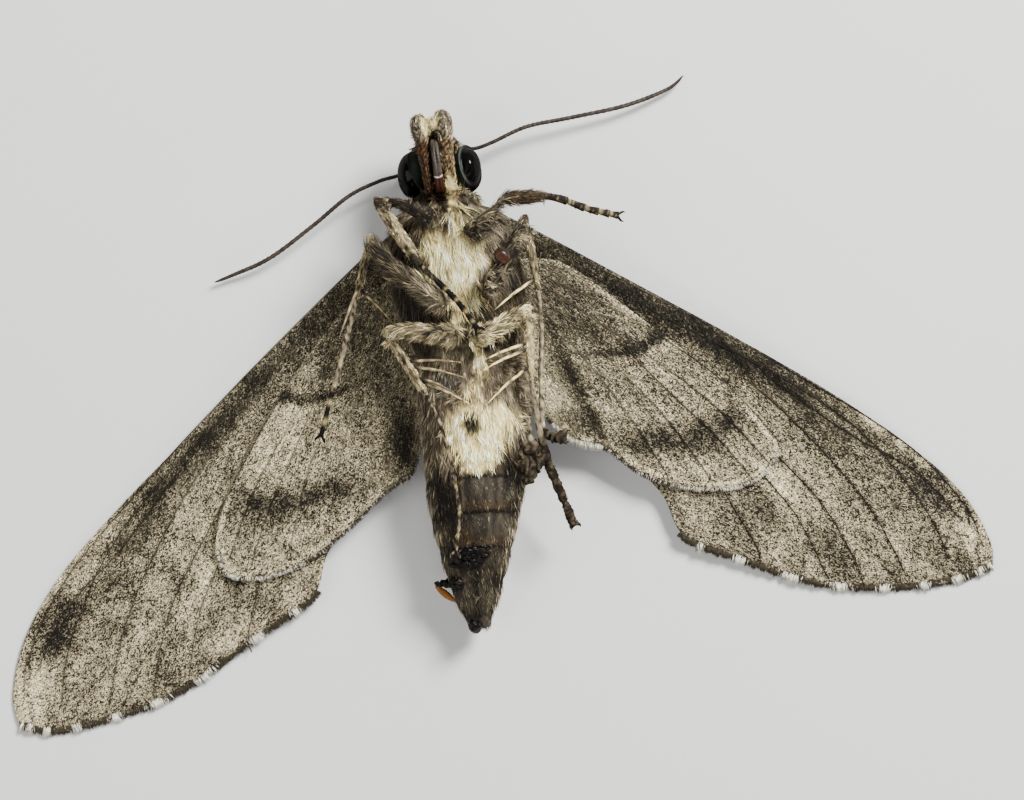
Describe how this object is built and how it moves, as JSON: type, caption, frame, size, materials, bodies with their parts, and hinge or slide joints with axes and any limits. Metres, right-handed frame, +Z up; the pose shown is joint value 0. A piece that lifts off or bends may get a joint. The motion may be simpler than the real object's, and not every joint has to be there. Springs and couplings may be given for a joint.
{
  "type": "hawk moth",
  "caption": "Life-size grey hawk moth lying on its back, wings half open, legs folded over the belly, feelers spread.",
  "frame": {"origin": "on the floor, in the middle of the flat under the back of the thorax", "axes": "+Z up, from the back to the belly; +Y from the tail towards the head; +X towards the moth's own left"},
  "size_m": [0.0886, 0.054, 0.012],
  "materials": {
    "body_hair": "long cream and grey-brown hair",
    "head_hair": "short speckled grey and cream scales",
    "wing_scales": "matt scales, cream and dark olive grey",
    "eyes": "glossy black",
    "tongue": "smooth red-brown horn",
    "antennae": "dark brown, pale grey on the back",
    "leg_scales": "grey and cream scales and hair",
    "feet": "dark brown horn with thin pale bands"
  },
  "bodies": {
    "root": {"abdomen": "body_hair", "antenna_left": "antennae", "antenna_right": "antennae", "eye_left": "eyes", "eye_right": "eyes", "foreleg_left_femur": "leg_scales", "foreleg_left_tarsus": "feet", "foreleg_left_tibia": "leg_scales", "foreleg_right_femur": "leg_scales", "foreleg_right_tarsus": "feet", "foreleg_right_tibia": "leg_scales", "forewing_left": "wing_scales", "forewing_right": "wing_scales", "head": "head_hair", "hindleg_left_femur": "leg_scales", "hindleg_left_tarsus": "feet", "hindleg_left_tibia": "leg_scales", "hindleg_right_femur": "leg_scales", "hindleg_right_tarsus": "feet", "hindleg_right_tibia": "leg_scales", "hindwing_left": "wing_scales", "hindwing_right": "wing_scales", "midleg_left_femur": "leg_scales", "midleg_left_tarsus": "feet", "midleg_left_tibia": "leg_scales", "midleg_right_femur": "leg_scales", "midleg_right_tarsus": "feet", "midleg_right_tibia": "leg_scales", "palp_left": "head_hair", "palp_right": "head_hair", "proboscis": "tongue", "thorax": "body_hair"}
  },
  "joints": []
}
